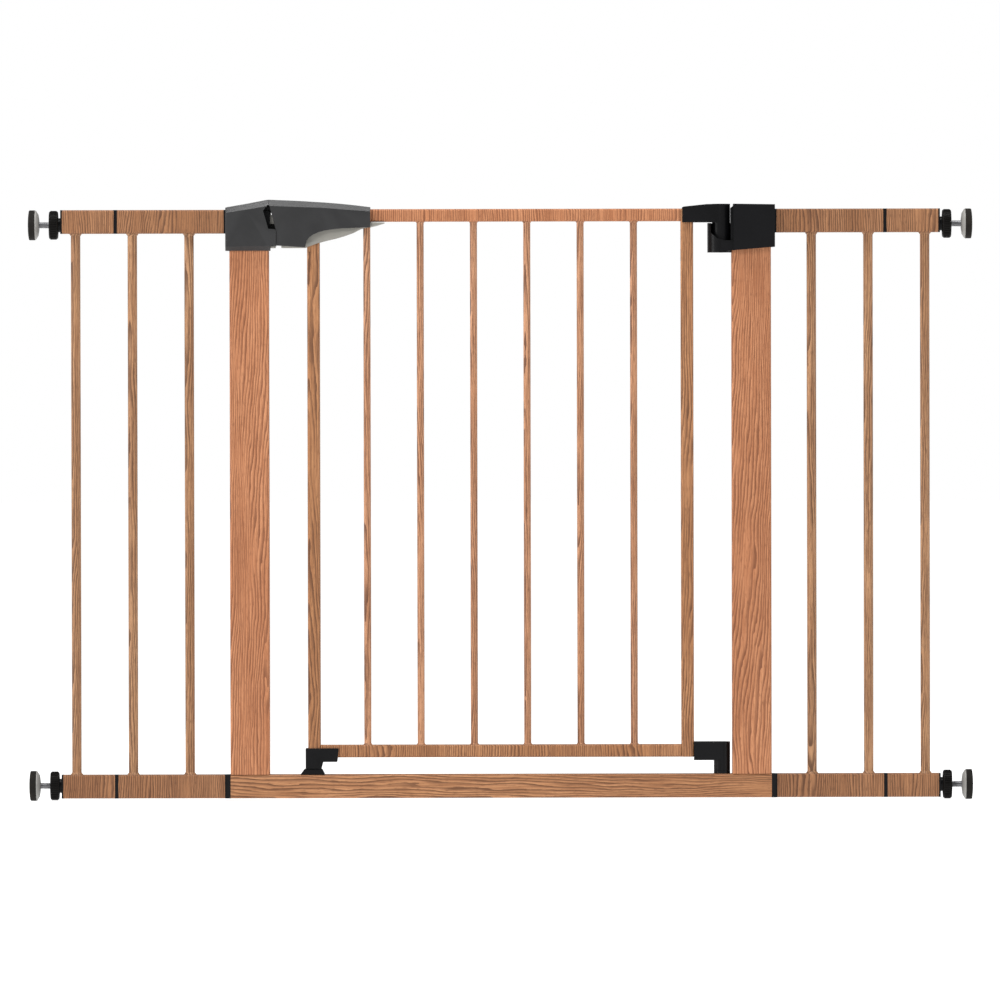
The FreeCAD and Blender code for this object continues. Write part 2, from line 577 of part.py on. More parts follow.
lever_spring_start = FreeCAD.Vector(-size_of("pivot_left"), -size_of("lever_spring_length") / 2,
                                    size_of("pivot_height"))
coil_spring("lever_spring", lever_spring_start, FreeCAD.Vector(0, 1, 0),
            size_of("lever_spring_radius"), size_of("lever_spring_wire"),
            size_of("lever_spring_length"), size_of("lever_spring_turns"))

LEVER_OUTLINE = [("-277.5", "701.4"), ("-247.7", "701.4"), ("-229", "708.4"), ("-208", "712.7"),
                 ("-186", "720.1"), ("-176", "726.4"), ("-162", "727.4"), ("-146.7", "733.2"),
                 ("-160", "733.6"), ("-172", "734"), ("-184", "734"), ("-200", "732"),
                 ("-215", "729.5"), ("-229", "727.5"), ("-240", "724.5"), ("-252", "723"),
                 ("-258", "726.5"), ("-268", "726.5"), ("-272", "718"), ("-277.5", "711")]
# the space between the lever's two cheeks, above its floor
LEVER_HOLLOW = [("-280", "703.8"), ("-247.7", "703.8"), ("-229", "710.8"), ("-208", "715.1"),
                ("-186", "722.5"), ("-176", "728.6"), ("-163.5", "728.6"), ("-163.5", "740"),
                ("-280", "740")]

lever = body("release_lever")
add(lever, "XZ", LEVER_OUTLINE, "-lever_outer", "lever_outer")
cut(lever, "XZ", LEVER_HOLLOW, "-lever_inner", "lever_inner")
for window in (("-248.7", "-224.5"), ("-176.5", "-163.5")):
    cut(lever, "XY", rectangle(*window, "-lever_inner", "lever_inner"), "695", "740")
cut(lever, "XZ", ("circle", "-pivot_left", "pivot_height", "spring_hub"), "-lever_inner", "lever_inner")
cut(lever, "XZ", ("circle", "-pivot_left", "pivot_height", "pivot_radius + fit_gap"), "-lever_outer",
    "lever_outer")
add(lever, "XZ", ("circle", "-follower_left", "follower_height", "follower_radius"), "-lever_inner - 1",
    "lever_inner + 1")
keep(lever, "release_lever")

bolt = body("latch_bolt")
BOLT_PLAN = [("-bolt_tip", "-tip_half"), ("-bolt_tip + tip_length", "-bolt_half"),
             ("-bolt_back", "-bolt_half"), ("-bolt_back", "bolt_half"),
             ("-bolt_tip + tip_length", "bolt_half"), ("-bolt_tip", "tip_half")]
add(bolt, "XY", BOLT_PLAN, "bolt_low", "bolt_high")
add(bolt, "XZ", rectangle("-fin_left", "-fin_right", "fin_low", "bolt_low"), "-fin_half", "fin_half")
# a slot in the fin that slopes up to the left, so that a rising lever pin draws the bolt back
SLOT_RIGHT = "-follower_left + slot_end_run"
SLOT_LOW = "follower_height - slot_end_rise"
SLOT_LEFT = "-follower_left - slot_run - slot_end_run"
SLOT_HIGH = "follower_height + slot_rise + slot_end_rise"
SLOT = [(f"{SLOT_RIGHT} - slot_side_run", f"{SLOT_LOW} - slot_side_rise"),
        (f"{SLOT_RIGHT} + slot_side_run", f"{SLOT_LOW} + slot_side_rise"),
        (f"{SLOT_LEFT} + slot_side_run", f"{SLOT_HIGH} + slot_side_rise"),
        (f"{SLOT_LEFT} - slot_side_run", f"{SLOT_HIGH} - slot_side_rise")]
cut(bolt, "XZ", SLOT, "-fin_half", "fin_half")
keep(bolt, "latch_bolt")

# ---------------------------------------------------------------- door foot and floor catch

foot = body("door_foot")
FOOT_OUTLINE = [("-248.3", "foot_low"), ("-228", "foot_low"), ("-226", "48.9"), ("-208", "48.9"),
                ("-206.1", "66.2"), ("-248.3", "66.2")]
add(foot, "XZ", FOOT_OUTLINE, "-foot_depth", "foot_depth")
cut(foot, "XZ", rectangle("-stile_outer", "-foot_right", "door_low", "door_low + door_rail"), *DOOR_SIDES)
cut(foot, "XY", rectangle("-foot_slot_left", "-foot_slot_right", "-foot_slot_half", "foot_slot_half"),
    "foot_low", "foot_slot_high")
keep(foot, "door_foot")

catch = doc.addObject("Part::Wedge", "catch_base")
for name, place in (("Xmin", "-catch_base_left"), ("Xmax", "-catch_base_right"),
                    ("X2min", "-catch_top_left"), ("X2max", "-catch_top_right"),
                    ("Zmin", "-catch_base_half"), ("Zmax", "catch_base_half"),
                    ("Z2min", "-catch_top_half"), ("Z2max", "catch_top_half"),
                    ("Ymin", "sill_high"), ("Ymax", "catch_high")):
    catch.setExpression(name, bound(place))
catch.Placement = FreeCAD.Placement(FreeCAD.Vector(0, 0, 0), FreeCAD.Rotation(FreeCAD.Vector(1, 0, 0), 90))
tab = doc.addObject("Part::Box", "catch_tab")
for name, place in (("Length", "catch_tab_length"), ("Width", "catch_tab_width"),
                    ("Height", "catch_tab_high - catch_high + 1"),
                    ("Placement.Base.x", "-catch_tab_left"), ("Placement.Base.y", "-catch_tab_width / 2"),
                    ("Placement.Base.z", "catch_high - 1")):
    tab.setExpression(name, bound(place))
floor_catch = doc.addObject("Part::MultiFuse", "floor_catch")
floor_catch.Shapes = [catch, tab]
keep(floor_catch, "floor_catch")

# ---------------------------------------------------------------- check and write

doc.recompute()
for shape_object in doc.Objects:
    if "Invalid" in shape_object.State or "Error" in shape_object.State:
        raise RuntimeError(f"{shape_object.Name} failed: {shape_object.State}")
os.makedirs("parts", exist_ok=True)
for part in parts:
    if part.Shape.isNull() or not part.Shape.isValid():
        raise RuntimeError(f"{part.Label} has no valid shape")
for part in parts:
    part.Shape.exportStep(f"parts/{part.Label}.step")
print(len(parts), "sub-parts")
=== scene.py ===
import math

import bmesh
import bpy
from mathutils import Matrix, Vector


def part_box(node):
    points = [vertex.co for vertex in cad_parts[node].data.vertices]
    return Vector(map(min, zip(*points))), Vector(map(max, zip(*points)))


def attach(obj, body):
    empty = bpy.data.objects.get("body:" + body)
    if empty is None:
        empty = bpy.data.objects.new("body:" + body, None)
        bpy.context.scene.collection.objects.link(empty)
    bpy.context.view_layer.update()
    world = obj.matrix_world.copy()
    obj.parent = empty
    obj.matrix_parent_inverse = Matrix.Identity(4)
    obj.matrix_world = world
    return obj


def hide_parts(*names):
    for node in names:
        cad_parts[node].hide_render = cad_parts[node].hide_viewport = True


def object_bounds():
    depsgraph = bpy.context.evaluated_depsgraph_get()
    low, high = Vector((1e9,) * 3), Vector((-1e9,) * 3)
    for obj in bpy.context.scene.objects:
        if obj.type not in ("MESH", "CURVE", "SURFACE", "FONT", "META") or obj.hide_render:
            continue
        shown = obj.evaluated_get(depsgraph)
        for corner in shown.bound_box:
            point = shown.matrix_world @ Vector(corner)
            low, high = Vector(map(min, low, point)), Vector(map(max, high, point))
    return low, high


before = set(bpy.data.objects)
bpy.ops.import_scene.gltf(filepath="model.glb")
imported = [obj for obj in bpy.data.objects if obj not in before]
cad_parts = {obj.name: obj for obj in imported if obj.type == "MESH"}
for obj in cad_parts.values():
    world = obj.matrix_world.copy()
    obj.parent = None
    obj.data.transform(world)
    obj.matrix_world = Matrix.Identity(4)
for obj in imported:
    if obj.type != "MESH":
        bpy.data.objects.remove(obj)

MM = 0.001
CAD_LOW, CAD_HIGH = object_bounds()


# ---------------------------------------------------------------- finishes

def srgb(red, green, blue):
    """A colour given in display values from 0 to 255, as the renderer wants it."""
    def linear(value):
        value /= 255
        return value / 12.92 if value <= 0.04045 else ((value + 0.055) / 1.055) ** 2.4
    return (linear(red), linear(green), linear(blue), 1)


# socket numbers of a Mix node that is set to colours
MIX_COLOUR_A, MIX_COLOUR_B, MIX_COLOUR_OUT = 6, 7, 2


class Wire:
    """A node's output socket that can be used in sums."""

    def __init__(self, finish, socket):
        self.finish = finish
        self.socket = socket

    def sum(self, operation, first, second):
        return self.finish.add("ShaderNodeMath", {"operation": operation}, {0: first, 1: second})

    def __add__(self, other):
        return self.sum("ADD", self, other)

    def __radd__(self, other):
        return self.sum("ADD", other, self)

    def __sub__(self, other):
        return self.sum("SUBTRACT", self, other)

    def __mul__(self, other):
        return self.sum("MULTIPLY", self, other)


class Finish:
    """A material made of nodes round one Principled shader."""

    def __init__(self, name, **fixed):
        self.material = bpy.data.materials.new(name)
        self.material.use_nodes = True
        self.nodes = self.material.node_tree.nodes
        self.links = self.material.node_tree.links
        self.shader = self.nodes["Principled BSDF"]
        for socket, value in fixed.items():
            self.shader.inputs[socket.replace("_", " ")].default_value = value

    def add(self, kind, settings, inputs, output=0):
        """Add a node: its settings first, then the values or links of its sockets."""
        node = self.nodes.new(kind)
        for setting, value in settings.items():
            setattr(node, setting, value)
        self.join(node, inputs)
        return Wire(self, node.outputs[output])

    def join(self, node, inputs):
        for socket, value in inputs.items():
            if isinstance(value, Wire):
                self.links.new(value.socket, node.inputs[socket])
            else:
                node.inputs[socket].default_value = value

    def noise(self, where, scale, detail=2.0, roughness=0.5):
        inputs = {"Vector": where, "Scale": scale, "Detail": detail, "Roughness": roughness}
        return self.add("ShaderNodeTexNoise", {}, inputs)

    def stretch(self, where, scale, shift=(0, 0, 0), turn=(0, 0, 0)):
        return self.add("ShaderNodeMapping", {}, {"Vector": where, "Location": shift,
                                                 "Rotation": turn, "Scale": scale})

    def band(self, value, low, high):
        """Rise smoothly from 0 at the low value to 1 at the high one."""
        return self.add("ShaderNodeMapRange", {"interpolation_type": "SMOOTHSTEP"},
                        {"Value": value, "From Min": low, "From Max": high})

    def blend(self, factor, first, second):
        """The first colour where the factor is 0 and the second where it is 1."""
        return self.add("ShaderNodeMix", {"data_type": "RGBA", "blend_type": "MIX"},
                        {0: factor, MIX_COLOUR_A: first, MIX_COLOUR_B: second}, MIX_COLOUR_OUT)

    def object_place(self):
        return self.add("ShaderNodeTexCoord", {}, {}, "Object")

    def bump(self, height, strength, distance):
        inputs = {"Height": height, "Strength": strength, "Distance": distance}
        return self.add("ShaderNodeBump", {}, inputs)

    def painted_edge_shading(self, flat=0.505, sharp=0.58):
        """High on outward edges, nothing on flat faces; the mask that paints light and shade along edges."""
        return self.band(self.add("ShaderNodeNewGeometry", {}, {}, "Pointiness"), flat, sharp)

    def use(self, **inputs):
        self.join(self.shader, {socket.replace("_", " "): value for socket, value in inputs.items()})
        return self.material


# growth rings for each metre across and into the wood, and how far each waviness shifts them
RINGS_ACROSS, RINGS_DEEP = 330, 210
SWAY_SHIFT, FIGURE_SHIFT, RIPPLE_SHIFT = 7, 26, 1.3
# noise cells for each metre in X, Y and Z, long in the direction of the grain
SWAY, FIGURE, RIPPLE = (26, 26, 4.5), (9, 9, 1.1), (160, 160, 22)
RING_STRENGTH, FIBRES, STREAKS = (70, 70, 9), (1100, 1100, 38), (420, 420, 14)
PORES, PATCHES = (1600, 1600, 110), (20, 20, 3.4)


def wood_print(name, seed, tone, along_x=False):
    """Wood-grain film on steel: dense wavy grain lines, broad figure, fine fibres and dark pores."""
    light, middle, dark, line = tone
    finish = Finish(name, Specular_IOR_Level=0.3)
    turn = (0, math.radians(90), 0) if along_x else (0, 0, 0)
    place = finish.stretch(finish.object_place(), (1, 1, 1), (seed * 1.37, seed * 0.71, seed * 2.3), turn)
    sway = finish.noise(finish.stretch(place, SWAY), 1, 2, 0.5)
    figure = finish.noise(finish.stretch(place, FIGURE), 1, 1, 0.4)
    ripple = finish.noise(finish.stretch(place, RIPPLE), 1, 2, 0.5)
    across = finish.add("ShaderNodeSeparateXYZ", {}, {0: place}, 0)
    depth = finish.add("ShaderNodeSeparateXYZ", {}, {0: place}, 1)
    wave = sway * SWAY_SHIFT + figure * FIGURE_SHIFT + ripple * RIPPLE_SHIFT
    rings = across * RINGS_ACROSS + depth * RINGS_DEEP + wave
    phase = finish.add("ShaderNodeMath", {"operation": "FRACT"}, {0: rings})
    strength = finish.noise(finish.stretch(place, RING_STRENGTH), 1, 2)
    ring_line = finish.band(phase, 0.25, 0.95) * finish.band(strength, 0.22, 0.52)
    fibres = finish.noise(finish.stretch(place, FIBRES), 1, 3, 0.65)
    streaks = finish.noise(finish.stretch(place, STREAKS), 1, 2, 0.55)
    pores = finish.noise(finish.stretch(place, PORES), 1, 1, 0.4)
    pore_mask = finish.band(pores, 0.58, 0.7)
    patches = finish.noise(finish.stretch(place, PATCHES), 1, 3, 0.55)
    colour = finish.blend(finish.band(patches, 0.32, 0.68), middle, light)
    colour = finish.blend(finish.band(streaks, 0.42, 0.7) * 0.6, colour, dark)
    colour = finish.blend(finish.band(fibres, 0.4, 0.68) * 0.5, colour, dark)
    colour = finish.blend(ring_line * 0.85, colour, line)
    colour = finish.blend(pore_mask * 0.55, colour, line)
    # painted shade: outward edges darkened towards the line colour
    colour = finish.blend(finish.painted_edge_shading(0.515, 0.6) * 0.3, colour, line)
    height = fibres * 0.4 - ring_line * 0.5 - pore_mask * 0.6
    rough = 0.42 + fibres * 0.14 + ring_line * 0.12
    return finish.use(Base_Color=colour, Roughness=rough, Normal=finish.bump(height, 0.3, 0.0002))


def moulded(name, colour, edge_colour, rough, grain=1800, relief=0.12, shine=0.45):
    """Moulded plastic with a fine spark-eroded texture, faint clouding and a painted highlight that pales
    its outward edges.
    """
    finish = Finish(name, Specular_IOR_Level=shine)
    place = finish.object_place()
    texture = finish.noise(place, grain, 2, 0.6)
    clouds = finish.noise(place, 35, 3, 0.6)
    scuffs = finish.noise(finish.stretch(place, (60, 60, 420)), 1, 3, 0.7)
    scuff_mask = finish.band(scuffs, 0.66, 0.8)
    shade = finish.blend(finish.band(clouds, 0.3, 0.7) * 0.35, colour, edge_colour)
    shade = finish.blend(scuff_mask * 0.12, shade, edge_colour)
    # painted highlight: outward edges paled towards the edge colour
    shade = finish.blend(finish.painted_edge_shading() * 0.55, shade, edge_colour)
    roughness = rough + texture * 0.1 - scuff_mask * 0.08
    return finish.use(Base_Color=shade, Roughness=roughness, Normal=finish.bump(texture, relief, 0.0002))


def plated(name, colour, rough, lines=(30, 900, 900)):
    """Zinc-plated steel with fine drawing lines and darker stains."""
    finish = Finish(name, Metallic=1.0)
    place = finish.object_place()
    drawn = finish.noise(finish.stretch(place, lines), 1, 2, 0.5)
    stains = finish.noise(place, 120, 3, 0.6)
    dull = finish.band(stains, 0.45, 0.7)
    shade = finish.blend(dull * 0.5, colour, srgb(70, 70, 74))
    roughness = rough + drawn * 0.15 + dull * 0.15
    return finish.use(Base_Color=shade, Roughness=roughness, Normal=finish.bump(drawn, 0.1, 0.0001))


def rubber(name):
    """Dull rubber with a fine speckle and paler dusty high spots."""
    finish = Finish(name, Specular_IOR_Level=0.25)
    place = finish.object_place()
    speckle = finish.noise(place, 900, 3, 0.7)
    dust = finish.noise(place, 90, 4, 0.65)
    shade = finish.blend(finish.band(dust, 0.4, 0.75) * 0.5, srgb(17, 14, 10), srgb(36, 31, 24))
    rough = speckle * 0.2 + 0.7
    return finish.use(Base_Color=shade, Roughness=rough, Normal=finish.bump(speckle, 0.3, 0.0003))


POST_TONE = (srgb(226, 160, 116), srgb(206, 140, 98), srgb(170, 106, 68), srgb(112, 66, 42))
RAIL_TONE = (srgb(216, 158, 112), srgb(193, 136, 91), srgb(153, 101, 64), srgb(88, 55, 36))
BAR_TONE = (srgb(205, 153, 117), srgb(182, 130, 94), srgb(144, 96, 67), srgb(89, 56, 39))
SIDE_RAIL_TONE = (srgb(196, 142, 100), srgb(172, 120, 80), srgb(134, 88, 57), srgb(78, 49, 33))
SIDE_BAR_TONE = (srgb(188, 144, 106), srgb(166, 122, 86), srgb(132, 90, 61), srgb(82, 54, 36))

latch_grey = moulded("latch_grey_plastic", srgb(25, 25, 26), srgb(42, 42, 43), 0.34, shine=0.5)
hinge_black = moulded("hinge_black_plastic", srgb(8, 8, 9), srgb(18, 18, 20), 0.3, shine=0.14)
wheel_black = moulded("wheel_black_plastic", srgb(6, 5, 4), srgb(18, 16, 14), 0.42, shine=0.1)
lever_grey = moulded("lever_pale_plastic", srgb(128, 126, 119), srgb(150, 148, 141), 0.38,
                     relief=0.06)
strike_black = moulded("strike_black_coat", srgb(10, 10, 11), srgb(40, 40, 42), 0.6, shine=0.1)
zinc = plated("zinc_steel", srgb(160, 160, 162), 0.28)
dark_zinc = plated("dark_zinc_steel", srgb(112, 112, 116), 0.35)
cup_grey = moulded("pad_cup_plastic", srgb(120, 118, 114), srgb(160, 158, 154), 0.4, shine=0.4)
pad_rubber = rubber("pad_rubber")


# ---------------------------------------------------------------- finishes on the carried-over nodes

def paint(node, material):
    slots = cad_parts[node].data.materials
    slots.clear()
    slots.append(material)


WOOD_NODES = {
    "post_left": POST_TONE, "post_right": POST_TONE, "threshold_rail": RAIL_TONE,
    "door_top_rail": POST_TONE, "door_bottom_rail": RAIL_TONE, "door_stile_left": RAIL_TONE,
    "door_stile_right": RAIL_TONE, "door_bars": BAR_TONE,
}
SIDES = ("left", "right")
for side in SIDES:
    for width in ("wide", "narrow"):
        for rail in ("top", "bottom"):
            WOOD_NODES[f"{side}_{width}_{rail}_rail"] = SIDE_RAIL_TONE
        WOOD_NODES[f"{side}_{width}_bars"] = SIDE_BAR_TONE
for seed, (node, tone) in enumerate(WOOD_NODES.items(), start=1):
    paint(node, wood_print(f"wood_print_{node}", seed, tone, along_x=node == "threshold_rail"))

for node in ("threshold_end_plugs", "left_wide_end_plugs", "left_narrow_end_plugs",
             "right_wide_end_plugs", "right_narrow_end_plugs", "lower_hinge_seat"):
    paint(node, hinge_black)
for node in ("extension_link_pins", "hinge_pin_upper", "hinge_pin_lower", "lever_pivot_pin"):
    paint(node, zinc)
for node in ("closer_spring", "lever_spring", "handle_screws", "housing_screws"):
    paint(node, dark_zinc)
paint("strike_plate", strike_black)


# ---------------------------------------------------------------- modelling by hand

# a direction counts as along an axis when its cosine is above STRAIGHT, and two levels as the same
# when they are less than CLOSE millimetres apart; points nearer than WELD metres are merged
STRAIGHT = 0.999
CLOSE = 0.01
WELD = 0.00001


def clear_selection():
    if bpy.context.mode != "OBJECT":
        bpy.ops.object.mode_set(mode="OBJECT")
    bpy.ops.object.select_all(action="DESELECT")


def grab(piece):
    clear_selection()
    piece.select_set(True)
    bpy.context.view_layer.objects.active = piece


def settle(piece):
    """Put the object's place, turn and scale into its mesh."""
    grab(piece)
    bpy.ops.object.transform_apply(location=True, rotation=True, scale=True)


def block(name, low, high):
    """A box between two corners, in millimetres."""
    clear_selection()
    middle = [(a + b) / 2 * MM for a, b in zip(low, high)]
    bpy.ops.mesh.primitive_cube_add(size=1, location=middle)
    piece = bpy.context.object
    piece.name = name
    piece.scale = [(b - a) * MM for a, b in zip(low, high)]
    settle(piece)
    return piece


def pick(piece, kind, test):
    """In edit mode, select only the edges or faces that pass a test."""
    grab(piece)
    bpy.ops.object.mode_set(mode="EDIT")
    bpy.ops.mesh.select_mode(type=kind)
    bpy.ops.mesh.select_all(action="DESELECT")
    mesh = bmesh.from_edit_mesh(piece.data)
    for item in {"EDGE": mesh.edges, "FACE": mesh.faces}[kind]:
        if test(item):
            item.select_set(True)
    mesh.select_flush_mode()
    bmesh.update_edit_mesh(piece.data)


def done():
    bpy.ops.object.mode_set(mode="OBJECT")


def along_x(edge):
    run = (edge.verts[1].co - edge.verts[0].co).normalized()
    return abs(run.x) > STRAIGHT


def centre_of(edge):
    return (edge.verts[0].co + edge.verts[1].co) / 2 / MM


def bevel_picked(width, segments=1):
    bpy.ops.mesh.bevel(offset=width * MM, segments=segments, affect="EDGES")
    done()


def slice_off(piece, point, normal):
    """Cut away what lies on the normal's side of a plane and close the cut."""
    grab(piece)
    bpy.ops.object.mode_set(mode="EDIT")
    bpy.ops.mesh.select_all(action="SELECT")
    bpy.ops.mesh.bisect(plane_co=[value * MM for value in point], plane_no=Vector(normal).normalized(),
                        use_fill=True, clear_outer=True)
    done()


def prism(name, outline, front, back):
    """A convex outline in X and Z, anticlockwise, cut from a box that reaches from front to back."""
    xs = [x for x, z in outline]
    zs = [z for x, z in outline]
    piece = block(name, (min(xs), front, min(zs)), (max(xs), back, max(zs)))
    for (x1, z1), (x2, z2) in zip(outline, outline[1:] + outline[:1]):
        if x1 != x2 and z1 != z2:
            slice_off(piece, (x1, 0, z1), (z2 - z1, 0, x1 - x2))
    return piece


def draw_out(name, stations, facet=0, keel=0, keel_steps=1):
    """A long form drawn out along X from a slab, through stations of x, bottom, top and half depth.

    facet is the width of the bevel along the two top edges, and keel along the two bottom ones.
    """
    x, bottom, top, half = stations[0]
    first = stations[1][0]
    piece = block(name, (x, -half, bottom), (first, half, top))
    for width, level, steps in ((facet, top, 1), (keel, bottom, keel_steps)):
        if width:
            pick(piece, "EDGE", lambda edge: along_x(edge) and abs(centre_of(edge).z - level) < CLOSE)
            bevel_picked(width, steps)
    end = first
    pick(piece, "FACE", lambda face: face.normal.x > STRAIGHT)
    for x, low, high, wide in stations[1:]:
        if x > end:
            bpy.ops.mesh.extrude_region_move(TRANSFORM_OT_translate={"value": ((x - end) * MM, 0, 0)})
        size = (1, wide / half, (high - low) / (top - bottom))
        bpy.ops.transform.resize(value=size, center_override=(x * MM, 0, bottom * MM))
        bpy.ops.transform.translate(value=(0, 0, (low - bottom) * MM))
        end, bottom, top, half = x, low, high, wide
    done()
    return piece


def carve(piece, *tools, operation="DIFFERENCE"):
    """Take each tool's volume from the piece, or with UNION join it on, and remove the tool."""
    for tool in tools:
        grab(piece)
        modifier = piece.modifiers.new("carve", "BOOLEAN")
        modifier.operation = operation
        modifier.object = tool
        modifier.solver = "EXACT"
        bpy.ops.object.modifier_apply(modifier=modifier.name)
        bpy.data.objects.remove(tool)


def weld(piece):
    """Merge points that lie together."""
    grab(piece)
    bpy.ops.object.mode_set(mode="EDIT")
    bpy.ops.mesh.select_all(action="SELECT")
    bpy.ops.mesh.remove_doubles(threshold=WELD)
    done()


FLAT_WITHIN = math.radians(0.5)


def clean(piece):
    """Merge points that lie together, and faces that lie flat."""
    weld(piece)
    bpy.ops.object.mode_set(mode="EDIT")
    bpy.ops.mesh.select_all(action="SELECT")
    bpy.ops.mesh.dissolve_limited(angle_limit=FLAT_WITHIN)
    done()


ROUNDED_EDGE = math.radians(25)


def round_off(piece, width):
    """Round every edge that turns by more than 25 degrees."""
    grab(piece)
    modifier = piece.modifiers.new("rounding", "BEVEL")
    modifier.width = width * MM
    modifier.segments = 3
    modifier.limit_method = "ANGLE"
    modifier.angle_limit = ROUNDED_EDGE
    bpy.ops.object.modifier_apply(modifier=modifier.name)


def twin(piece, name):
    """A copy with its own mesh."""
    copy = piece.copy()
    copy.data = piece.data.copy()
    copy.name = name
    bpy.context.collection.objects.link(copy)
    return copy


def present(piece, material, body, slot, *nodes, smooth=32):
    """Finish a piece: smooth shading, its material, and what it rides on and stands for."""
    grab(piece)
    bpy.ops.object.shade_smooth_by_angle(angle=math.radians(smooth))
    modifier = piece.modifiers.new("flat_faces_first", "WEIGHTED_NORMAL")
    modifier.weight = 100
    modifier.keep_sharp = True
    bpy.ops.object.modifier_apply(modifier=modifier.name)
    piece.data.materials.clear()
    piece.data.materials.append(material)
    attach(piece, body)
    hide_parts(*nodes)


# ---------------------------------------------------------------- softened copies of plain moulded nodes

def soften(node, name, width, material, body, slot):
    """A copy of a node's mesh, its loose triangles joined and its edges rounded."""
    piece = twin(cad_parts[node], name)
    piece.hide_render = False
    clean(piece)
    round_off(piece, width)
    present(piece, material, body, slot, node)


soften("hinge_housing", "hinge_housing_cover", 1.0, hinge_black, "frame", "hinge_plastic")
soften("upper_hinge_arm", "hinge_arm_upper", 1.2, hinge_black, "door", "hinge_plastic")
soften("lower_hinge_arm", "hinge_arm_lower", 1.2, hinge_black, "door", "hinge_plastic")
soften("door_foot", "door_foot_shoe", 0.9, hinge_black, "door", "hinge_plastic")
soften("floor_catch", "floor_catch_block", 0.8, hinge_black, "frame", "hinge_plastic")
soften("latch_bolt", "bolt_tongue", 0.5, lever_grey, "bolt", "lever_plastic")
soften("latch_trim", "latch_trim_strip", 0.5, lever_grey, "frame", "lever_plastic")


# ---------------------------------------------------------------- latch housing

HALF_SEAM = 0.12
CUTTER_MARGIN = Vector((60, 60, 60))


def halves(piece, front_name, rear_name):
    """Two shells that meet at the middle with a fine seam between them."""
    rear = twin(piece, rear_name)
    piece.name = front_name
    low = CAD_LOW / MM - CUTTER_MARGIN
    high = CAD_HIGH / MM + CUTTER_MARGIN
    carve(piece, block("rear_side", (low.x, -HALF_SEAM, low.z), high))
    carve(rear, block("front_side", low, (high.x, HALF_SEAM, high.z)))
    return piece, rear


HOUSING_LOW, HOUSING_HIGH = [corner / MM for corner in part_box("latch_housing_front")]
POST_LOW, POST_HIGH = [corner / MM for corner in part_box("post_left")]
HOUSING_HALF = -HOUSING_LOW.y
# a point on the housing's slanted right edge, and the direction that faces out of it
HOUSING_EDGE, HOUSING_EDGE_OUT = (-284.9, 0, 724.8), (37.7, 0, 9.9)
# the mouth's outline, and the thickness of the skin that closes it at the back
MOUTH = [(-294, 725.8), (-280, 724.4), (-280, 755.8), (-295.4, 755.8), (-300.5, 748.4)]
MOUTH_SKIN = 2


def latch_housing():
    left, bottom, top = HOUSING_LOW.x, HOUSING_LOW.z, HOUSING_HIGH.z
    right = HOUSING_HIGH.x
    body_form = draw_out("latch_housing_form", [
        (left, bottom, 752.7, HOUSING_HALF - 1), (left + 2.5, bottom, 753.4, HOUSING_HALF),
        (-322, bottom, 757.5, HOUSING_HALF), (-296, bottom, top, HOUSING_HALF),
        (right, bottom, top + 0.4, HOUSING_HALF)], 7, 5)
    slice_off(body_form, HOUSING_EDGE, HOUSING_EDGE_OUT)
    carve(body_form,
          block("post_room", (POST_LOW.x, POST_LOW.y, 690), (POST_HIGH.x, POST_HIGH.y, 748)),
          block("bolt_way", (-302, -7, 740), (-280, 7, 756)),
          block("step", (-291.8, -30, 690), (-280, 30, 704)),
          block("bolt_pass", (-291.3, 10, 738.5), (-280, 30, 746.5)),
          prism("mouth", MOUTH, -40, HOUSING_HALF - MOUTH_SKIN))
    clean(body_form)
    front, rear = halves(body_form, "latch_housing_front_shell", "latch_housing_rear_shell")
    for shell, node in ((front, "latch_housing_front"), (rear, "latch_housing_rear")):
        round_off(shell, 0.9)
        present(shell, latch_grey, "frame", "latch_plastic", node)


latch_housing()


# ---------------------------------------------------------------- handle

HANDLE_STATIONS = [
    (-296, 704.6, 762.8, 18), (-282.4, 704.6, 762.2, 18), (-264, 703.3, 761.5, 18),
    (-247.3, 702.1, 760.6, 17.8), (-245.1, 711.1, 760.5, 17.8), (-241.5, 715.2, 760.2, 17.7),
    (-237.1, 718.4, 759.9, 17.6), (-230, 721.4, 759.5, 17.4), (-222.5, 723.4, 759.0, 17.2),
    (-212, 725, 758.2, 17.0), (-200.7, 726.1, 757.2, 16.6), (-182, 726.9, 755.2, 16.0),
    (-164.7, 727.2, 753.0, 15.4)]
# the space to the left of the handle's slanted edge
HANDLE_LEFT_SIDE = [(-300, 700), (-283.8, 700), (-283.8, 720.2), (-284.5, 724.9), (-296.34, 770),
                    (-300, 770)]
# where the two planes of each long top facet meet, and how fast each falls along the handle
HANDLE_FACET_X, HANDLE_FACET_HALF, HANDLE_FACET_LEVEL = -230, 17.4, 752.6
HANDLE_FACET_SLOPES = (0.0455, 0.1087)
# the hollow inside: the skin round it, how far it opens downwards, its ends and its own facets
HANDLE_SKIN = 2
HANDLE_OPEN_BELOW = 8
HANDLE_ROOM_LEFT, HANDLE_ROOM_RIGHT = -290.5, -166.7
HANDLE_ROOM_FACET = 9
# a point on the hollow's slanted left end, and the direction that faces out of it
HANDLE_ROOM_EDGE, HANDLE_ROOM_EDGE_OUT = (-291.0, 0, 760), (-41.3, 0, -10.1)


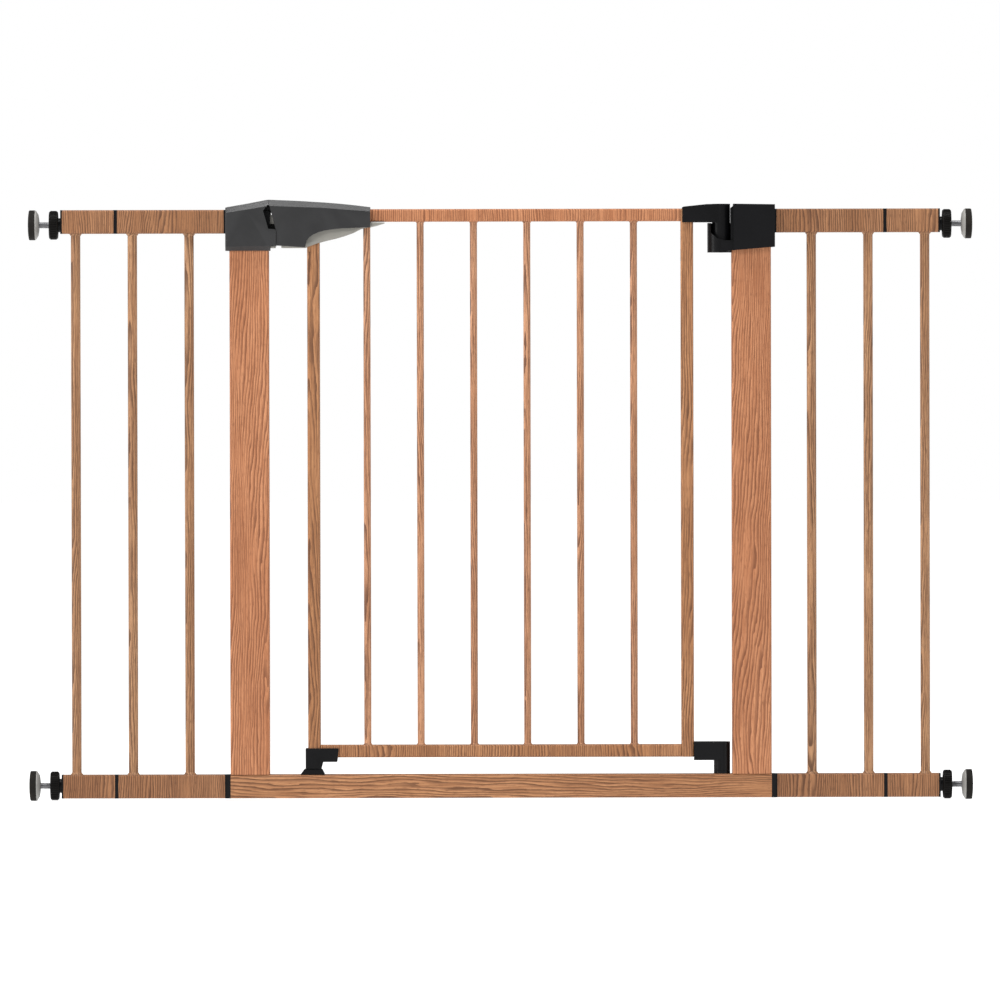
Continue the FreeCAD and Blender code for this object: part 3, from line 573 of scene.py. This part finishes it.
def handle():
    form = draw_out("handle_form", HANDLE_STATIONS)
    for side in (-1, 1):
        for slope in HANDLE_FACET_SLOPES:
            slice_off(form, (HANDLE_FACET_X, side * HANDLE_FACET_HALF, HANDLE_FACET_LEVEL), (slope, side, 1))
    carve(form, prism("handle_left_trim", HANDLE_LEFT_SIDE, -30, 30))
    clean(form)
    inner = [(min(max(x, HANDLE_ROOM_LEFT), HANDLE_ROOM_RIGHT),
              low - HANDLE_OPEN_BELOW, high - HANDLE_SKIN, half - HANDLE_SKIN)
             for x, low, high, half in HANDLE_STATIONS]
    room = draw_out("handle_room", inner, HANDLE_ROOM_FACET)
    slice_off(room, HANDLE_ROOM_EDGE, HANDLE_ROOM_EDGE_OUT)
    rail_low, rail_high = [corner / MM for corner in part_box("door_top_rail")]
    carve(form, room,
          block("rail_way", (-170, rail_low.y, rail_low.z), (-160, rail_high.y, rail_high.z)),
          block("tail_way", (-170, -12.5, 715), (-160, 12.5, rail_low.z + 0.01)),
          block("bolt_hole", (-300, -6.4, 731.6), (-275, 6.4, 743.9)))
    clean(form)
    front, rear = halves(form, "handle_front_shell", "handle_rear_shell")
    for shell, node in ((front, "handle_front"), (rear, "handle_rear")):
        round_off(shell, 0.8)
        present(shell, latch_grey, "door", "latch_plastic", node, smooth=12)


handle()


# ---------------------------------------------------------------- release lever

# the lever's outside: x, bottom and top; and the bottom of the channel along its inside
LEVER_STATIONS = [
    (-277.5, 701.4, 711), (-272, 701.4, 718), (-268, 701.4, 726.5), (-258, 701.4, 726.5), (-252, 701.4, 723),
    (-247.7, 701.5, 723.6), (-238, 704.8, 724.8), (-229, 708.2, 727.4), (-218, 710.9, 728.9),
    (-208, 713.2, 730.6), (-197, 716.4, 732.2), (-186, 720.4, 733.6), (-176, 725.6, 734), (-166, 727.3, 734),
    (-158, 728.9, 733.8), (-146.8, 732.4, 733.4)]
LEVER_CHANNEL = [(-290, 703.8), (-247.7, 703.9), (-229, 710.8), (-208, 715.6), (-186, 722.8), (-176, 728.2),
                 (-163.5, 729.4)]
LEVER_HALF = 12
CHANNEL_HALF, CHANNEL_TOP = 9.2, 745
LEVER_PIN_X, LEVER_PIN_Z, LEVER_PIN_RADIUS, LEVER_PIN_LENGTH = -263, 722, 2, 20


def release_lever():
    form = draw_out("release_lever_form", [(*station, LEVER_HALF) for station in LEVER_STATIONS], 0, 2.6, 3)
    channel = draw_out("lever_channel", [(x, low, CHANNEL_TOP, CHANNEL_HALF) for x, low in LEVER_CHANNEL])
    carve(form, channel,
          block("stile_way", (-248.7, -CHANNEL_HALF, 695), (-224.5, CHANNEL_HALF, 740)),
          block("bar_way", (-176.5, -CHANNEL_HALF, 695), (-163.5, CHANNEL_HALF, 740)))
    clean(form)
    round_off(form, 0.7)
    clear_selection()
    place = (LEVER_PIN_X * MM, 0, LEVER_PIN_Z * MM)
    bpy.ops.mesh.primitive_cylinder_add(vertices=24, radius=LEVER_PIN_RADIUS * MM,
                                        depth=LEVER_PIN_LENGTH * MM, location=place,
                                        rotation=(math.radians(90), 0, 0))
    pin = bpy.context.object
    settle(pin)
    carve(form, pin, operation="UNION")
    form.name = "release_lever_paddle"
    present(form, lever_grey, "lever", "lever_plastic", "release_lever")


release_lever()


# ---------------------------------------------------------------- wall spindles

def drum(name, radius, x_low, x_high, sides):
    """A cylinder along X on the origin's axis."""
    clear_selection()
    bpy.ops.mesh.primitive_cylinder_add(vertices=sides, radius=radius * MM, depth=(x_high - x_low) * MM,
                                        location=((x_low + x_high) / 2 * MM, 0, 0),
                                        rotation=(0, math.radians(90), 0))
    piece = bpy.context.object
    piece.name = name
    settle(piece)
    return piece


def radius_of(point):
    return math.hypot(point.y, point.z) / MM


RIBS = 40
WHEEL_THICK = 11.3
# the wheel's radius between its ribs and over them, and the bore for an 8 mm rod
RIM_RADIUS, RIB_RADIUS = 17.6, 18.3
BORE_RADIUS = 4.05


def on_rim(edge, x, radius):
    """An edge that runs round the outside of a drum's end."""
    return abs(centre_of(edge).x - x) < CLOSE and radius_of(edge.verts[0].co) > radius


def is_rib(face):
    """Every second narrow face round the rim."""
    around = math.degrees(math.atan2(face.normal.y, face.normal.z)) % 360
    return abs(face.normal.x) < 0.01 and int(around / (180 / RIBS)) % 2 == 0


def adjuster_wheel():
    """A wheel with a ribbed rim, a dished outer face and a bored hub, from x = 0 to its thickness."""
    wheel = drum("wheel_form", RIM_RADIUS, 0, WHEEL_THICK, RIBS * 2)
    for end in (0, WHEEL_THICK):
        pick(wheel, "EDGE", lambda edge: on_rim(edge, end, 17))
        bevel_picked(1.6, 3)
    pick(wheel, "FACE", is_rib)
    bpy.ops.mesh.inset(thickness=0.22 * MM, use_individual=True)
    growth = RIB_RADIUS / RIM_RADIUS
    bpy.ops.transform.resize(value=(1, growth, growth), center_override=(0, 0, 0))
    done()
    for side in (1, -1):
        pick(wheel, "FACE", lambda face: face.normal.x * side > STRAIGHT)
        bpy.ops.mesh.inset(thickness=3.2 * MM)
        bpy.ops.mesh.inset(thickness=0.8 * MM)
        bpy.ops.transform.translate(value=(-side * 1.2 * MM, 0, 0))
        bpy.ops.mesh.inset(thickness=4.2 * MM)
        bpy.ops.mesh.inset(thickness=0.6 * MM)
        bpy.ops.transform.translate(value=(side * 1.2 * MM, 0, 0))
        done()
    carve(wheel, drum("wheel_bore", BORE_RADIUS, -2, WHEEL_THICK + 2, 48))
    return wheel


# the pad from the rod outwards: the cup's rim, the rubber face and its flat end
CUP_RIM, PAD_BACK, PAD_FRONT = 4.2, 5.4, 13.2


def wall_pad():
    """A pad cup with a conical inner side and a hub, and its slightly domed rubber face."""
    cup = drum("pad_cup_form", 18.6, CUP_RIM, PAD_BACK, 72)
    pick(cup, "FACE", lambda face: face.normal.x < -STRAIGHT)
    bpy.ops.mesh.extrude_region_move(TRANSFORM_OT_translate={"value": (-3.2 * MM, 0, 0)})
    bpy.ops.transform.resize(value=(1, 0.72, 0.72), center_override=(0, 0, 0))
    bpy.ops.mesh.extrude_region_move(TRANSFORM_OT_translate={"value": (-1.0 * MM, 0, 0)})
    bpy.ops.transform.resize(value=(1, 0.5, 0.5), center_override=(0, 0, 0))
    done()
    carve(cup, drum("cup_bore", BORE_RADIUS, -2, 8, 48))
    face = drum("pad_face_form", 19, PAD_BACK, PAD_FRONT, 72)
    pick(face, "EDGE", lambda edge: on_rim(edge, PAD_FRONT, 18))
    bevel_picked(1.4, 3)
    pick(face, "FACE", lambda flat: flat.normal.x > STRAIGHT)
    for inset, rise in ((3.0, 0.5), (4.0, 0.4), (4.5, 0.25), (3.5, 0.1)):
        bpy.ops.mesh.inset(thickness=inset * MM)
        bpy.ops.transform.translate(value=(rise * MM, 0, 0))
    done()
    return cup, face


def threaded_rod(length, pitch=1.25, crest=4.0, root=3.35):
    """A rod with a helical thread, drawn by turning one tooth along X with a screw modifier."""
    clear_selection()
    bpy.ops.mesh.primitive_plane_add(size=1)
    rod = bpy.context.object
    rod.name = "rod_form"
    rod.data.clear_geometry()
    tooth = [(0, root), (pitch * 0.12, root), (pitch * 0.45, crest), (pitch * 0.62, crest), (pitch, root)]
    rod.data.from_pydata([(x * MM, 0, z * MM) for x, z in tooth], [(i, i + 1) for i in range(4)], [])
    modifier = rod.modifiers.new("thread", "SCREW")
    modifier.axis = "X"
    modifier.screw_offset = pitch * MM
    modifier.steps = 20
    modifier.render_steps = 20
    modifier.iterations = int(length / pitch) + 2
    modifier.use_merge_vertices = True
    modifier.merge_threshold = WELD
    grab(rod)
    bpy.ops.object.modifier_apply(modifier=modifier.name)
    weld(rod)
    slice_off(rod, (pitch, 0, 0), (-1, 0, 0))
    slice_off(rod, (pitch + length, 0, 0), (1, 0, 0))
    grab(rod)
    bpy.ops.object.mode_set(mode="EDIT")
    bpy.ops.mesh.select_all(action="SELECT")
    bpy.ops.transform.translate(value=(-pitch * MM, 0, 0))
    bpy.ops.mesh.normals_make_consistent(inside=False)
    done()
    return rod


def set_out(form, name, side, start, height):
    """A copy of a spindle piece, turned to point outwards and moved to its place."""
    piece = twin(form, name)
    if side < 0:
        piece.rotation_euler = (0, 0, math.pi)
    piece.location = (side * start * MM, 0, height * MM)
    settle(piece)
    return piece


def wall_spindles():
    wheel = adjuster_wheel()
    cup, face = wall_pad()
    rod_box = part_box("right_top_spindle_rod")
    rod = threaded_rod((rod_box[1].x - rod_box[0].x) / MM)
    pieces = (
        (wheel, "wheel_ribbed", wheel_black, "wheel", "wheel_plastic", "adjuster_wheel"),
        (cup, "pad_cup", cup_grey, "spindle", "hinge_plastic", "wall_pad"),
        (face, "pad_face", pad_rubber, "spindle", "pad_rubber", "wall_pad"),
        (rod, "rod_thread", zinc, "spindle", "bright_steel", "spindle_rod"))
    for side, word in ((-1, "left"), (1, "right")):
        for level in ("top", "bottom"):
            place = f"{word}_{level}"
            wheel_low, wheel_high = [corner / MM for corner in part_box(f"{place}_adjuster_wheel")]
            height = (wheel_low.z + wheel_high.z) / 2
            for form, name, material, body, slot, node in pieces:
                low, high = [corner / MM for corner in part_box(f"{place}_{node}")]
                start = min(abs(low.x), abs(high.x))
                piece = set_out(form, f"{place}_{name}", side, start, height)
                present(piece, material, f"{place}_{body}", slot, f"{place}_{node}")
    for form in (wheel, cup, face, rod):
        bpy.data.objects.remove(form)


wall_spindles()


# ---------------------------------------------------------------- floor, light and camera

def floor():
    clear_selection()
    bpy.ops.mesh.primitive_plane_add(size=60, location=(0, 0, -0.0005))
    plane = bpy.context.object
    plane.name = "floor"
    pale = Finish("floor_white", Base_Color=(0.5, 0.5, 0.5, 1), Roughness=1.0, Specular_IOR_Level=0.0,
                  Emission_Color=(1, 1, 1, 1), Emission_Strength=0.84)
    plane.data.materials.append(pale.material)


def soft_light(name, place, target, size, power):
    light = bpy.data.lights.new(name, "AREA")
    light.shape = "RECTANGLE"
    light.size, light.size_y = size
    light.energy = power
    lamp = bpy.data.objects.new(name, light)
    lamp.location = place
    lamp.rotation_euler = (Vector(target) - Vector(place)).to_track_quat("-Z", "Y").to_euler()
    bpy.context.collection.objects.link(lamp)


# how strongly the white surroundings light the object; the camera sees them at full white
ROOM_LIGHT = 0.4


def studio():
    world = bpy.data.worlds.new("studio")
    bpy.context.scene.world = world
    world.use_nodes = True
    nodes = world.node_tree.nodes
    links = world.node_tree.links
    background = nodes["Background"]
    background.inputs["Color"].default_value = (1, 1, 1, 1)
    seen = nodes.new("ShaderNodeLightPath")
    level = nodes.new("ShaderNodeMapRange")
    level.inputs["To Min"].default_value = ROOM_LIGHT
    level.inputs["To Max"].default_value = 1.0
    links.new(seen.outputs["Is Camera Ray"], level.inputs["Value"])
    links.new(level.outputs[0], background.inputs["Strength"])
    middle = (0, 0, 0.38)
    soft_light("key", (-2.2, -2.4, 2.6), middle, (1.0, 1.0), 58)
    soft_light("left_strip", (-3.0, -1.0, 0.7), middle, (0.3, 1.6), 24)
    soft_light("right_strip", (3.0, -1.0, 0.7), middle, (0.3, 1.6), 24)
    soft_light("overhead", (0, -0.4, 2.8), middle, (2.6, 0.5), 50)


# metres and degrees
CAMERA_DISTANCE = 12.0
CAMERA_HEIGHT = 0.53
CAMERA_TARGET = Vector((-0.0008, 0, 0.381))
CAMERA_ROLL = -0.12
VIEW_WIDTH = 1.27


def camera():
    lens = bpy.data.cameras.new("front")
    lens.sensor_width = 36
    lens.lens = lens.sensor_width * CAMERA_DISTANCE / VIEW_WIDTH
    front = bpy.data.objects.new("front", lens)
    front.location = (CAMERA_TARGET.x, -CAMERA_DISTANCE, CAMERA_HEIGHT)
    aim = (CAMERA_TARGET - front.location).to_track_quat("-Z", "Y").to_euler()
    aim.rotate_axis("Z", math.radians(CAMERA_ROLL))
    front.rotation_euler = aim
    bpy.context.collection.objects.link(front)
    bpy.context.scene.camera = front


floor()
studio()
camera()
bpy.context.scene.view_settings.view_transform = "Standard"
